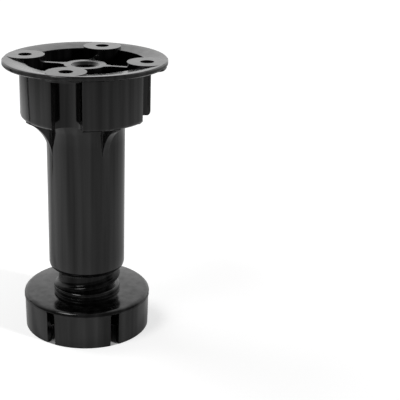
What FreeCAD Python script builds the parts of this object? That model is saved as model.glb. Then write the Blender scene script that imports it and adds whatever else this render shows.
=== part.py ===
import FreeCAD, Part
import math
import os

# Adjustable cabinet leg: a moulded body and a levelling foot that screws into it.
# Millimetres, +Z up, origin at the centre of the foot's underside.

# How far the foot is screwed out from its stop as the leg stands
screwed_out = 7.1

# Flats that stand for each rounded edge of a turned wall
round_flats = 3

# Screw plate at the top of the body, dished towards the drum
plate_d = 59.2
plate_t = 1.8
plate_land = 1.2
plate_dish = 0.9
plate_chamfer = 0.4
hole_pitch = 32.0
hole_d = 5.0
hole_count = 4
hole_deg = 45.0

# Drum under the plate
drum_d = 47.1
drum_h = 21.0
drum_wall = 1.9
drum_floor = 2.0
drum_edge_r = 1.5

# Half-round driver channel under each screw hole
channel_r = 5.4
channel_wall = 1.7
channel_edge_r = 0.7
pad_t = 2.4
pad_inset = 0.3

# Hub and spokes inside the drum
hub_d = 15.2
hub_bore_d = 8.0
hub_drop = 2.3
hub_chamfer = 1.1
spoke_t = 1.6
spoke_root_t = 5.0
spoke_root_run = 2.2

# Tube, with a narrower guide for the spindle at its lower end
body_h = 80.0
tube_wall = 1.25
tube_draft = 0.1
tube_end_r = 2.2
neck_flare = 1.8
neck_h = 4.2
guide_h = 10.0
guide_lead = 0.8

# Fins that carry the drum on the tube
fin_t = 2.2
fin_drop = 14.2
fin_inset = 0.3

# Foot disc with its slotted skirt
foot_d = 47.9
foot_h = 14.1
foot_plate_t = 2.0
foot_edge_r = 1.5
skirt_inset = 0.25
skirt_draft = 0.2
skirt_wall = 2.1
slot_count = 6
slot_w = 3.4
slot_roof_t = 1.3
slot_deg = 27.0
foot_rib_t = 1.6
foot_rib_lift = 1.5

# Spindle on the foot, hollow from below, with a stop collar at its root
spindle_d = 21.5
spindle_len = 40.5
spindle_wall = 1.9
spindle_clearance = 0.25
spindle_chamfer = 1.0
thread_depth = 2.0
collar_step = 1.85
collar_h = 2.2
collar_edge_r = 1.0

# Heights and radii worked out from the sizes above
body_z = foot_h + collar_h + screwed_out
top_z = body_z + body_h
drum_z = top_z - drum_h
floor_z = drum_z + drum_floor
hub_z = top_z - hub_drop
plate_r = plate_d / 2
drum_r = drum_d / 2
drum_in_r = drum_r - drum_wall
hole_r_pos = hole_pitch / math.sqrt(2)
column_r = channel_r + channel_wall
spindle_r = spindle_d / 2
spindle_in_r = spindle_r - spindle_wall
spindle_top = foot_h + spindle_len
collar_r = spindle_r + collar_step
guide_r = spindle_r + spindle_clearance
bore_r = guide_r + thread_depth
tube_end = bore_r + tube_wall
tube_r = tube_end + tube_draft
foot_r = foot_d / 2
skirt_r = foot_r - skirt_inset
skirt_in_r = skirt_r - skirt_draft - skirt_wall

UP = FreeCAD.Vector(0, 0, 1)
ORIGIN = FreeCAD.Vector(0, 0, 0)


def at(r, z):
    """Point in the section plane, at radius r and height z."""
    return FreeCAD.Vector(r, 0, z)


def rounded(here, before, after, radius):
    """Points that round one corner off in flats; before and after point along its two sides."""
    half = before.getAngle(after) / 2
    centre = here + (before + after).normalize() * (radius / math.sin(half))
    start = here + before * (radius / math.tan(half)) - centre
    end = here + after * (radius / math.tan(half)) - centre
    sweep = start.getAngle(end)
    points = []
    for i in range(round_flats + 1):
        turn = sweep * i / round_flats
        arm = start * math.sin(sweep - turn) + end * math.sin(turn)
        points.append(centre + arm * (1 / math.sin(sweep)))
    return points


def section(corners):
    """Face from (radius, height, corner radius) corners; a corner without a radius stays sharp."""
    points = [at(r, z) for r, z, _ in corners]
    outline = []
    for i, (_, _, radius) in enumerate(corners):
        here = points[i]
        before = (points[i - 1] - here).normalize()
        after = (points[(i + 1) % len(points)] - here).normalize()
        outline += rounded(here, before, after, radius) if radius else [here]
    return Part.Face(Part.makePolygon(outline + outline[:1]))


def lathe(corners):
    """Solid of revolution about the leg's axis."""
    return section(corners).revolve(ORIGIN, UP, 360)


def pillar(radius, low, high, r=0.0):
    """Upright cylinder, standing on the +X side at radius r."""
    return Part.makeCylinder(radius, high - low, at(r, low), UP)


def rib(inner, outer, low, high, thick):
    """Radial wall on the +X side."""
    return Part.makeBox(outer - inner, thick, high - low, FreeCAD.Vector(inner, -thick / 2, low))


def around(shape, count, turn):
    """Copies of a shape, evenly spaced about the leg's axis and turned by an angle."""
    copies = []
    for i in range(count):
        copy = shape.copy()
        copy.rotate(ORIGIN, UP, turn + i * 360 / count)
        copies.append(copy)
    return copies


def body_shell():
    """Plate, drum with its floor, and tube, as one turned wall."""
    plate_low = top_z - plate_t
    return lathe([
        (plate_r, top_z - plate_chamfer, 0),
        (plate_r - plate_chamfer, top_z, 0),
        (plate_r - plate_land, top_z, 0),
        (drum_in_r, top_z - plate_dish, 0),
        (drum_in_r, floor_z, 0),
        (0, floor_z, 0),
        (0, drum_z, 0),
        (bore_r, drum_z, 0),
        (bore_r, body_z + guide_h, 0),
        (guide_r, body_z + guide_h - (bore_r - guide_r), 0),
        (guide_r, body_z + guide_lead, 0),
        (guide_r + guide_lead / 2, body_z, 0),
        (tube_end, body_z, tube_end_r),
        (tube_r, drum_z - neck_h, 0),
        (tube_r + neck_flare, drum_z, 0),
        (drum_r, drum_z, drum_edge_r),
        (drum_r, plate_low - plate_dish, 0),
        (plate_r - plate_chamfer, plate_low, 0),
        (plate_r, plate_low + plate_chamfer, 0),
    ])


def channel_column():
    """Round column with its flat pad that carries one screw and wraps its channel."""
    column = pillar(column_r, drum_z, top_z, hole_r_pos)
    pad = column.common(pillar(plate_r - pad_inset, top_z - pad_t, top_z))
    return column.common(pillar(drum_r - channel_wall / 2, drum_z, top_z)).fuse(pad)


def channel_mouth():
    """Plan of the channel's mouth, with the ends of the drum's wall rounded over."""
    to_round = drum_r - channel_edge_r
    from_hole = channel_r + channel_edge_r
    spread = math.acos((hole_r_pos ** 2 + to_round ** 2 - from_hole ** 2) / (2 * hole_r_pos * to_round))
    hole = FreeCAD.Vector(hole_r_pos, 0, 0)
    outward = FreeCAD.Vector(math.cos(spread), math.sin(spread), 0)
    centre = outward * to_round
    inner = hole + (centre - hole) * (channel_r / from_hole)
    outer = outward * drum_r
    middle = centre + (inner + outer - centre * 2).normalize() * channel_edge_r
    beyond = outward * plate_r
    upper = [
        Part.LineSegment(hole, inner).toShape(),
        Part.Arc(inner, middle, outer).toShape(),
        Part.LineSegment(outer, beyond).toShape(),
    ]
    lower = [edge.mirror(ORIGIN, FreeCAD.Vector(0, 1, 0)) for edge in upper]
    front = Part.LineSegment(beyond, FreeCAD.Vector(beyond.x, -beyond.y, 0)).toShape()
    return Part.Face(Part.Wire(Part.__sortEdges__(upper + [front] + lower)))


def channel_cut():
    """Driver channel with the screw hole above it."""
    low = drum_z - neck_h
    roof = top_z - pad_t
    channel = pillar(channel_r, low, roof, hole_r_pos)
    mouth = channel_mouth().extrude(UP * (top_z - plate_dish - plate_t - low))
    mouth.translate(UP * low)
    hole = pillar(hole_d / 2, roof, top_z, hole_r_pos)
    return channel.fuse([mouth, hole])


def hub():
    """Central boss for the screw that comes down through the cabinet's floor."""
    return lathe([
        (hub_bore_d / 2 + hub_chamfer, hub_z, 0),
        (hub_bore_d / 2, hub_z - hub_chamfer, 0),
        (hub_bore_d / 2, floor_z - drum_floor / 2, 0),
        (hub_d / 2, floor_z - drum_floor / 2, 0),
        (hub_d / 2, hub_z, 0),
    ])


def spoke():
    """Wall from the hub to the back of a channel column, wider where it leaves the hub."""
    low = floor_z - drum_floor / 2
    half_plan = [
        FreeCAD.Vector((hub_bore_d + hub_d) / 4, spoke_root_t / 2, low),
        FreeCAD.Vector(hub_d / 2 + spoke_root_run, spoke_t / 2, low),
        FreeCAD.Vector(hole_r_pos - channel_r - channel_wall / 2, spoke_t / 2, low),
    ]
    mirrored = [FreeCAD.Vector(p.x, -p.y, p.z) for p in reversed(half_plan)]
    plan = Part.makePolygon(half_plan + mirrored + half_plan[:1])
    return Part.Face(plan).extrude(UP * (hub_z - low))


def fin():
    """Web under the drum with a hollow curved edge that runs out on the tube."""
    reach = drum_r - fin_inset
    width = reach - tube_end
    curve_r = (width ** 2 + fin_drop ** 2) / (2 * width)
    root = (bore_r + tube_end) / 2
    top = drum_z + drum_floor / 2
    low = drum_z - fin_drop
    half_turn = math.asin(fin_drop / curve_r) / 2
    middle = at(tube_end + curve_r * (1 - math.cos(half_turn)), low + curve_r * math.sin(half_turn))
    edges = [
        Part.LineSegment(at(root, top), at(reach, top)).toShape(),
        Part.LineSegment(at(reach, top), at(reach, drum_z)).toShape(),
        Part.Arc(at(reach, drum_z), middle, at(tube_end, low)).toShape(),
        Part.LineSegment(at(tube_end, low), at(root, low)).toShape(),
        Part.LineSegment(at(root, low), at(root, top)).toShape(),
    ]
    web = Part.Face(Part.Wire(edges)).extrude(FreeCAD.Vector(0, fin_t, 0))
    web.translate(FreeCAD.Vector(0, -fin_t / 2, 0))
    return web


def leg_body():
    """Upper moulding: plate, drum, channels, hub, fins and tube in one piece."""
    shape = body_shell().fuse(around(channel_column(), hole_count, hole_deg) + [hub()])
    shape = shape.fuse(around(spoke(), hole_count, hole_deg) + around(fin(), hole_count, 0))
    return shape.cut(around(channel_cut(), hole_count, hole_deg)).removeSplitter()


def foot_shell():
    """Foot disc, skirt, collar and hollow spindle, as one turned wall."""
    plate_low = foot_h - foot_plate_t
    return lathe([
        (0, spindle_top, 0),
        (spindle_r - spindle_chamfer, spindle_top, 0),
        (spindle_r, spindle_top - spindle_chamfer, 0),
        (spindle_r, foot_h + collar_h, 0),
        (collar_r, foot_h + collar_h, collar_edge_r),
        (collar_r, foot_h, 0),
        (foot_r, foot_h, foot_edge_r),
        (foot_r, plate_low, 0),
        (skirt_r, plate_low, 0),
        (skirt_r - skirt_draft, 0, 0),
        (skirt_in_r, 0, 0),
        (skirt_in_r, plate_low, 0),
        (spindle_r, plate_low, 0),
        (spindle_r, foot_rib_lift, 0),
        (spindle_in_r, foot_rib_lift, 0),
        (spindle_in_r, spindle_top - spindle_wall, 0),
        (0, spindle_top - spindle_wall, 0),
    ])


def levelling_foot():
    """Lower moulding: slotted foot disc with its spindle."""
    step = 360 / slot_count
    spare = foot_plate_t / 2
    web = rib(spindle_r - spindle_wall / 2, skirt_in_r + skirt_wall / 2, foot_rib_lift, foot_h - spare, foot_rib_t)
    slot = rib(skirt_in_r - skirt_wall, foot_r, 0, foot_h - slot_roof_t, slot_w)
    shape = foot_shell().fuse(around(web, slot_count, slot_deg + step / 2))
    return shape.cut(around(slot, slot_count, slot_deg)).removeSplitter()


os.makedirs("parts", exist_ok=True)
leg_body().exportStep("parts/leg_body.step")
levelling_foot().exportStep("parts/levelling_foot.step")
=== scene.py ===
import math

import bmesh
import bpy
from mathutils import Matrix, Vector


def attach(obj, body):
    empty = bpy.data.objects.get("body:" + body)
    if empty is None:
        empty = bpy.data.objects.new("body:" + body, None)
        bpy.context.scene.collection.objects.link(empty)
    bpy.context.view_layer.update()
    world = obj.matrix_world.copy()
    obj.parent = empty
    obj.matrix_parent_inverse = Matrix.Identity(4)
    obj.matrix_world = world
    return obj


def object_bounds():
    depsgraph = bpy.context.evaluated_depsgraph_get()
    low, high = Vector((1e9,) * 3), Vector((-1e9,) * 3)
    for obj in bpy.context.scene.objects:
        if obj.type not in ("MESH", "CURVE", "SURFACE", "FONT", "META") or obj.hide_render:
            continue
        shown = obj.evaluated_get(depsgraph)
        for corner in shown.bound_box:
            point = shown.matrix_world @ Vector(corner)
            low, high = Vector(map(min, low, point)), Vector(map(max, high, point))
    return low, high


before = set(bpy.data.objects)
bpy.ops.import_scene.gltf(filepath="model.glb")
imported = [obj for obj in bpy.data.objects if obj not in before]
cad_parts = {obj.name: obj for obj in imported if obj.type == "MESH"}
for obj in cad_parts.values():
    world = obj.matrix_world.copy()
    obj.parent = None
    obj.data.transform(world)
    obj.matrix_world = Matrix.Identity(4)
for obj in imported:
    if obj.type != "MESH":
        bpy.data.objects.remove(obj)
cad_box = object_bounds()

MM = 0.001
WHITE = (1, 1, 1, 1)
BLACK = (0, 0, 0, 1)

# Camera, worked out from the photograph of the standing leg
CAMERA_AZIMUTH = -28.335
CAMERA_DISTANCE = 339.96 * MM
CAMERA_HEIGHT = 177.23 * MM
CAMERA_TURN = 3.361
CAMERA_TILT = 18.833
CAMERA_ROLL = 0.608
CAMERA_NEAR = 10 * MM
IMAGE_SIDE = 400
FOCAL_PIXELS = 970.12
SENSOR_W = 36.0
SHIFT_X = 0.15
SHIFT_Y = -0.075

# Sizes shared with the solids
FOOT_H = 14.1 * MM
COLLAR_TOP = 16.3 * MM
SPINDLE_TOP = FOOT_H + 40.5 * MM
SPINDLE_R = 10.75 * MM
SPINDLE_CHAMFER = 1.0 * MM

# Thread on the spindle
THREAD_PITCH = 9.0 * MM
THREAD_TIP_R = 12.75 * MM
THREAD_HALF_W = 1.05 * MM
THREAD_SAG = 0.7 * MM
THREAD_SQUARE = 6
THREAD_STEPS = 72
THREAD_POINTS = 10
THREAD_CROWDING = 0.7
THREAD_RUNOUT = 9
THREAD_SINK = 1.2 * MM
THREAD_TOP_GAP = THREAD_PITCH / 4
THREAD_LEFT_RISE = 1.9 * MM

# Black plastic: upright flow marks, fine grain, and shine as a low and a high level
PLASTIC_IOR = 1.5
BODY_SHINE = (0.36, 0.66)
# Less shine on the thread: painted shade for its place under the tube
THREAD_SHADED_SHINE = (0.12, 0.25)
ROUGHNESS = (0.09, 0.17)
FLOW_STRETCH = (1.0, 1.0, 0.03)
FLOW_SCALE = 330.0
FLOW_DETAIL = 3.0
FLOW_SPAN = (0.3, 0.7)
TONE_SPAN = (0.35, 0.65)
TONE = (0.0005, 0.003)
GRAIN_SCALE = 1800.0
GRAIN_STRENGTH = 0.05
GRAIN_DEPTH = 0.05 * MM

# Fine rounding of the mouldings' edges, and shading of the curved walls
EDGE_ROUND = 0.25 * MM
EDGE_SAMPLES = 4
EDGE_ANGLE = math.radians(40)
WELD_GAP = 0.001 * MM

# Room that the plastic mirrors; the wall's middle is an azimuth and an elevation
WALL_MIDDLE = (180, 20)
WALL_EDGE = 0.75
WALL_LEVEL = 1.1
ROOM_LEVEL = 0.14
SKY_LEVEL = 0.06

# White table
FLOOR_SIDE = 3.0
FLOOR_GREY = 0.85
FLOOR_LIFT_NEAR = 0.49
FLOOR_LIFT_FAR = 0.76
FLOOR_FAR = 0.6
FLOOR_DARK_R = 23.4 * MM

# Dark card that the left of the drum mirrors: a painted reflection of the leg's own shadow on the table
SHADOW_CARD_AZIMUTH = -113
SHADOW_CARD_DISTANCE = 0.19
SHADOW_CARD_W = 0.014
SHADOW_CARD_H = 0.075

# Lamps, placed by azimuth and elevation
KEY = {"azimuth": -54, "elevation": 57, "distance": 0.7, "size": 0.25, "watts": 1.1}
FILL = {"azimuth": -125, "elevation": 48, "distance": 0.32, "size": 0.2, "watts": 0.42}
SUN_AZIMUTH = 58
SUN_ELEVATION = 11
SUN_STRENGTH = 4.6
SUN_ANGLE = math.radians(10)


def link(obj):
    """Put a new object into the scene."""
    bpy.context.scene.collection.objects.link(obj)
    return obj


def toward(azimuth, elevation):
    """Unit vector at an azimuth to the right of the camera's side, and an elevation."""
    a = math.radians(CAMERA_AZIMUTH + azimuth)
    e = math.radians(elevation)
    return Vector((math.sin(a) * math.cos(e), -math.cos(a) * math.cos(e), math.sin(e)))


def facing(direction):
    """Turn that points a lamp back along a direction."""
    return direction.to_track_quat("Z", "Y").to_euler()


def add(tree, kind, values=None, operation=None):
    """New node with its operation and the values of its sockets."""
    node = tree.nodes.new(kind)
    if operation:
        node.operation = operation
    for socket, value in (values or {}).items():
        node.inputs[socket].default_value = value
    return node


def wire(tree, source, output, target, socket):
    """Link one node's output to another node's socket."""
    tree.links.new(source.outputs[output], target.inputs[socket])


def material(name, values):
    """New material, its node tree and its main shader with the shader's values set."""
    mat = bpy.data.materials.new(name)
    mat.use_nodes = True
    shader = mat.node_tree.nodes["Principled BSDF"]
    for socket, value in values.items():
        shader.inputs[socket].default_value = value
    return mat, mat.node_tree, shader


def flow_marks(tree, place, shader, shine):
    """Faint upright streaks in the roughness, the shine and the tone."""
    flow = add(tree, "ShaderNodeMapping", {"Scale": FLOW_STRETCH})
    skin = add(tree, "ShaderNodeTexNoise", {"Scale": FLOW_SCALE, "Detail": FLOW_DETAIL})
    rough = add(tree, "ShaderNodeMapRange", {"To Min": ROUGHNESS[0], "To Max": ROUGHNESS[1]})
    gloss = add(tree, "ShaderNodeMapRange", {"To Min": shine[0], "To Max": shine[1]})
    gloss.inputs["From Min"].default_value = FLOW_SPAN[0]
    gloss.inputs["From Max"].default_value = FLOW_SPAN[1]
    tone = add(tree, "ShaderNodeValToRGB")
    for end, spot, grey in zip(tone.color_ramp.elements, TONE_SPAN, TONE):
        end.position = spot
        end.color = (grey, grey, grey, 1)
    wire(tree, place, "Object", flow, "Vector")
    wire(tree, flow, "Vector", skin, "Vector")
    wire(tree, skin, "Fac", rough, "Value")
    wire(tree, skin, "Fac", gloss, "Value")
    wire(tree, skin, "Fac", tone, "Fac")
    wire(tree, rough, "Result", shader, "Roughness")
    wire(tree, gloss, "Result", shader, "Specular IOR Level")
    wire(tree, tone, "Color", shader, "Base Color")


def fine_relief(tree, place, shader):
    """Fine grain, and edges that shade as if rounded."""
    grain = add(tree, "ShaderNodeTexNoise", {"Scale": GRAIN_SCALE})
    edge = add(tree, "ShaderNodeBevel", {"Radius": EDGE_ROUND})
    edge.samples = EDGE_SAMPLES
    bump = add(tree, "ShaderNodeBump", {"Strength": GRAIN_STRENGTH, "Distance": GRAIN_DEPTH})
    wire(tree, place, "Object", grain, "Vector")
    wire(tree, grain, "Fac", bump, "Height")
    wire(tree, edge, "Normal", bump, "Normal")
    wire(tree, bump, "Normal", shader, "Normal")


def black_plastic(name, shine):
    """Glossy black moulded plastic."""
    mat, tree, shader = material(name, {"IOR": PLASTIC_IOR})
    place = add(tree, "ShaderNodeTexCoord")
    flow_marks(tree, place, shader, shine)
    fine_relief(tree, place, shader)
    return mat


def smooth_group():
    """Node group that shades smooth across all edges but the sharp ones."""
    group = bpy.data.node_groups.new("smooth_by_angle", "GeometryNodeTree")
    for way in ("INPUT", "OUTPUT"):
        group.interface.new_socket("Geometry", in_out=way, socket_type="NodeSocketGeometry")
    start = add(group, "NodeGroupInput")
    end = add(group, "NodeGroupOutput")
    faces = add(group, "GeometryNodeSetShadeSmooth")
    edges = add(group, "GeometryNodeSetShadeSmooth")
    edges.domain = "EDGE"
    angle = add(group, "GeometryNodeInputMeshEdgeAngle")
    blunt = add(group, "FunctionNodeCompare", {"B": EDGE_ANGLE}, operation="LESS_THAN")
    wire(group, start, "Geometry", faces, "Geometry")
    wire(group, faces, "Geometry", edges, "Geometry")
    wire(group, angle, "Unsigned Angle", blunt, "A")
    wire(group, blunt, "Result", edges, "Shade Smooth")
    wire(group, edges, "Geometry", end, "Geometry")
    return group


def soften(obj, group):
    """Shade the curved walls smooth and leave the corners sharp."""
    weld = obj.modifiers.new("weld", "WELD")
    weld.merge_threshold = WELD_GAP
    shade = obj.modifiers.new("smooth", "NODES")
    shade.node_group = group


def thread_profile(fade):
    """Points (radius, height) of one turn: a rounded ridge between two hollow halves of the root."""
    half = THREAD_PITCH / 2
    inner = SPINDLE_R - THREAD_SAG
    rise = THREAD_TIP_R - SPINDLE_R - THREAD_SAG
    points = [(inner, -half)]
    for k in range(-THREAD_POINTS, THREAD_POINTS + 1):
        share = k / THREAD_POINTS
        dz = half * share * abs(share) ** THREAD_CROWDING
        ridge = fade * rise / (1 + (dz / THREAD_HALF_W) ** THREAD_SQUARE)
        hollow = fade * THREAD_SAG * (1 - abs(dz) / half) ** 2
        points.append((SPINDLE_R + hollow + ridge, dz))
    return points + [(inner, half)]


def thread_ring(shape, angle, height, fade):
    """One section of the thread, kept between the foot and the spindle's top."""
    lowest = FOOT_H - SPINDLE_CHAMFER / 2
    highest = SPINDLE_TOP - SPINDLE_CHAMFER
    ring = []
    for r, dz in thread_profile(fade):
        z = min(max(height + dz, lowest), highest)
        ring.append(shape.verts.new((r * math.cos(angle), r * math.sin(angle), z)))
    return ring


def thread():
    """Helical thread that climbs the spindle from its collar to its top."""
    left = math.radians(CAMERA_AZIMUTH - 180)
    first = COLLAR_TOP - THREAD_SINK
    last = SPINDLE_TOP - THREAD_TOP_GAP
    turns = (last - first) / THREAD_PITCH
    count = int(turns * THREAD_STEPS)
    start = left + 2 * math.pi * (first - FOOT_H - THREAD_LEFT_RISE) / THREAD_PITCH
    shape = bmesh.new()
    rings = []
    for i in range(count + 1):
        turned = 2 * math.pi * turns * i / count
        height = first + THREAD_PITCH * turned / (2 * math.pi)
        fade = min(1.0, i / THREAD_RUNOUT, (count - i) / THREAD_RUNOUT)
        rings.append(thread_ring(shape, start + turned, height, fade))
    for a, b in zip(rings, rings[1:]):
        for k in range(len(a)):
            n = (k + 1) % len(a)
            shape.faces.new((a[k], b[k], b[n], a[n]))
    shape.faces.new(list(reversed(rings[0])))
    shape.faces.new(rings[-1])
    bmesh.ops.recalc_face_normals(shape, faces=shape.faces)
    mesh = bpy.data.meshes.new("spindle_thread")
    shape.to_mesh(mesh)
    shape.free()
    return link(bpy.data.objects.new("spindle_thread", mesh))


def camera():
    """Camera at the photograph's place and angle."""
    data = bpy.data.cameras.new("camera")
    data.sensor_width = SENSOR_W
    data.lens = FOCAL_PIXELS * SENSOR_W / IMAGE_SIDE
    data.shift_x = SHIFT_X
    data.shift_y = SHIFT_Y
    data.clip_start = CAMERA_NEAR
    obj = link(bpy.data.objects.new("camera", data))
    place = toward(0, 0) * CAMERA_DISTANCE
    place.z = CAMERA_HEIGHT
    heading = math.radians(CAMERA_TURN - CAMERA_AZIMUTH)
    tilt = math.radians(CAMERA_TILT)
    roll = math.radians(CAMERA_ROLL)
    level = Vector((math.sin(heading), math.cos(heading), 0))
    right = Vector((math.cos(heading), -math.sin(heading), 0))
    ahead = level * math.cos(tilt) - Vector((0, 0, math.sin(tilt)))
    up = right.cross(ahead)
    side = right * math.cos(roll) + up * math.sin(roll)
    top = up * math.cos(roll) - right * math.sin(roll)
    obj.matrix_world = Matrix((
        (side.x, top.x, -ahead.x, place.x),
        (side.y, top.y, -ahead.y, place.y),
        (side.z, top.z, -ahead.z, place.z),
        (0, 0, 0, 1),
    ))
    bpy.context.scene.camera = obj


def studio_world():
    """White surround for the camera; the plastic mirrors a bright back wall in a dim room."""
    world = bpy.data.worlds.new("studio")
    world.use_nodes = True
    bpy.context.scene.world = world
    tree = world.node_tree
    back = tree.nodes["Background"]
    back.inputs["Color"].default_value = WHITE
    place = add(tree, "ShaderNodeTexCoord")
    aim = add(tree, "ShaderNodeVectorMath", {1: toward(*WALL_MIDDLE)}, operation="DOT_PRODUCT")
    wall = add(tree, "ShaderNodeMapRange", {"From Max": WALL_EDGE})
    wall.interpolation_type = "SMOOTHSTEP"
    wall.inputs["To Min"].default_value = ROOM_LEVEL
    wall.inputs["To Max"].default_value = WALL_LEVEL
    seen = add(tree, "ShaderNodeLightPath")
    mirrored = add(tree, "ShaderNodeMix", {"A": SKY_LEVEL})
    level = add(tree, "ShaderNodeMath", operation="MAXIMUM")
    wire(tree, place, "Generated", aim, 0)
    wire(tree, aim, "Value", wall, "Value")
    wire(tree, seen, "Is Glossy Ray", mirrored, "Factor")
    wire(tree, wall, "Result", mirrored, "B")
    wire(tree, seen, "Is Camera Ray", level, 0)
    wire(tree, mirrored, "Result", level, 1)
    wire(tree, level, "Value", back, "Strength")


def table_lift(tree, shader):
    """Glow that keeps the table white for the camera, weaker near the leg and none under its foot."""
    place = add(tree, "ShaderNodeTexCoord")
    spread = add(tree, "ShaderNodeVectorMath", operation="LENGTH")
    outside = add(tree, "ShaderNodeMath", {1: FLOOR_DARK_R}, operation="GREATER_THAN")
    seen = add(tree, "ShaderNodeLightPath")
    shown = add(tree, "ShaderNodeMath", operation="MULTIPLY")
    rise = add(tree, "ShaderNodeMapRange", {"From Max": FLOOR_FAR})
    rise.inputs["To Min"].default_value = FLOOR_LIFT_NEAR
    rise.inputs["To Max"].default_value = FLOOR_LIFT_FAR
    strength = add(tree, "ShaderNodeMath", operation="MULTIPLY")
    wire(tree, place, "Object", spread, 0)
    wire(tree, spread, "Value", outside, 0)
    wire(tree, spread, "Value", rise, "Value")
    wire(tree, seen, "Is Camera Ray", shown, 0)
    wire(tree, outside, "Value", shown, 1)
    wire(tree, shown, "Value", strength, 0)
    wire(tree, rise, "Result", strength, 1)
    wire(tree, strength, "Value", shader, "Emission Strength")


def one_sided(tree, shader):
    """Let the camera look through the table from below."""
    side = add(tree, "ShaderNodeNewGeometry")
    clear = add(tree, "ShaderNodeBsdfTransparent")
    mix = add(tree, "ShaderNodeMixShader")
    wire(tree, side, "Backfacing", mix, "Fac")
    wire(tree, shader, "BSDF", mix, 1)
    wire(tree, clear, "BSDF", mix, 2)
    wire(tree, mix, "Shader", tree.nodes["Material Output"], "Surface")


def floor():
    """White table that keeps a soft shadow of the leg."""
    s = FLOOR_SIDE
    mesh = bpy.data.meshes.new("floor")
    mesh.from_pydata([(-s, -s, 0), (s, -s, 0), (s, s, 0), (-s, s, 0)], [], [(0, 1, 2, 3)])
    obj = link(bpy.data.objects.new("floor", mesh))
    mat, tree, shader = material("white_table", {
        "Base Color": (FLOOR_GREY, FLOOR_GREY, FLOOR_GREY, 1),
        "Roughness": 1.0,
        "Specular IOR Level": 0.0,
        "Emission Color": WHITE,
    })
    table_lift(tree, shader)
    one_sided(tree, shader)
    mesh.materials.append(mat)


def mirrored_shadow_card():
    """Narrow black card behind the leg on its left, which only the plastic mirrors; it stands in for
    the leg's own shadow on the table, as painted shade in the reflection.
    """
    middle = toward(SHADOW_CARD_AZIMUTH, 0) * SHADOW_CARD_DISTANCE
    across = toward(SHADOW_CARD_AZIMUTH + 90, 0) * SHADOW_CARD_W / 2
    top = Vector((0, 0, SHADOW_CARD_H))
    corners = [middle - across, middle + across, middle + across + top, middle - across + top]
    mesh = bpy.data.meshes.new("mirrored_shadow_card")
    mesh.from_pydata(corners, [], [(0, 1, 2, 3)])
    obj = link(bpy.data.objects.new("mirrored_shadow_card", mesh))
    mat, _, _ = material("mirrored_shadow_black", {"Base Color": BLACK, "Specular IOR Level": 0.0})
    mesh.materials.append(mat)
    obj.visible_camera = False
    obj.visible_diffuse = False
    obj.visible_shadow = False


def softbox(name, azimuth, elevation, distance, size, watts, mirrored):
    """Square lamp aimed at the middle of the leg; the plastic mirrors it or only the table shows it."""
    data = bpy.data.lights.new(name, "AREA")
    data.shape = "SQUARE"
    data.size = size
    data.energy = watts
    obj = link(bpy.data.objects.new(name, data))
    target = Vector((0, 0, cad_box[1].z / 2))
    aim = toward(azimuth, elevation)
    obj.location = target + aim * distance
    obj.rotation_euler = facing(aim)
    obj.visible_camera = False
    obj.visible_glossy = mirrored


def low_sun():
    """Even low light that lays the leg's shadow along the table and leaves no glints."""
    data = bpy.data.lights.new("low_sun", "SUN")
    data.energy = SUN_STRENGTH
    data.angle = SUN_ANGLE
    obj = link(bpy.data.objects.new("low_sun", data))
    obj.rotation_euler = facing(toward(SUN_AZIMUTH, SUN_ELEVATION))
    obj.visible_glossy = False


# Mouldings from model.glb
plastic = black_plastic("black_plastic", BODY_SHINE)
smooth = smooth_group()
for name in ("leg_body", "levelling_foot"):
    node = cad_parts[name]
    for place in node.material_slots:
        place.material = plastic
    soften(node, smooth)

# Thread, with less shine than the mouldings: painted shade that darkens it where it sits under the tube
ridge = thread()
ridge.data.materials.append(black_plastic("thread_plastic_shaded", THREAD_SHADED_SHINE))
soften(ridge, smooth)
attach(ridge, "foot")

# Studio
studio_world()
floor()
mirrored_shadow_card()
softbox("key_left", mirrored=True, **KEY)
softbox("fill_left", mirrored=False, **FILL)
low_sun()
camera()
bpy.context.scene.view_settings.view_transform = "Standard"
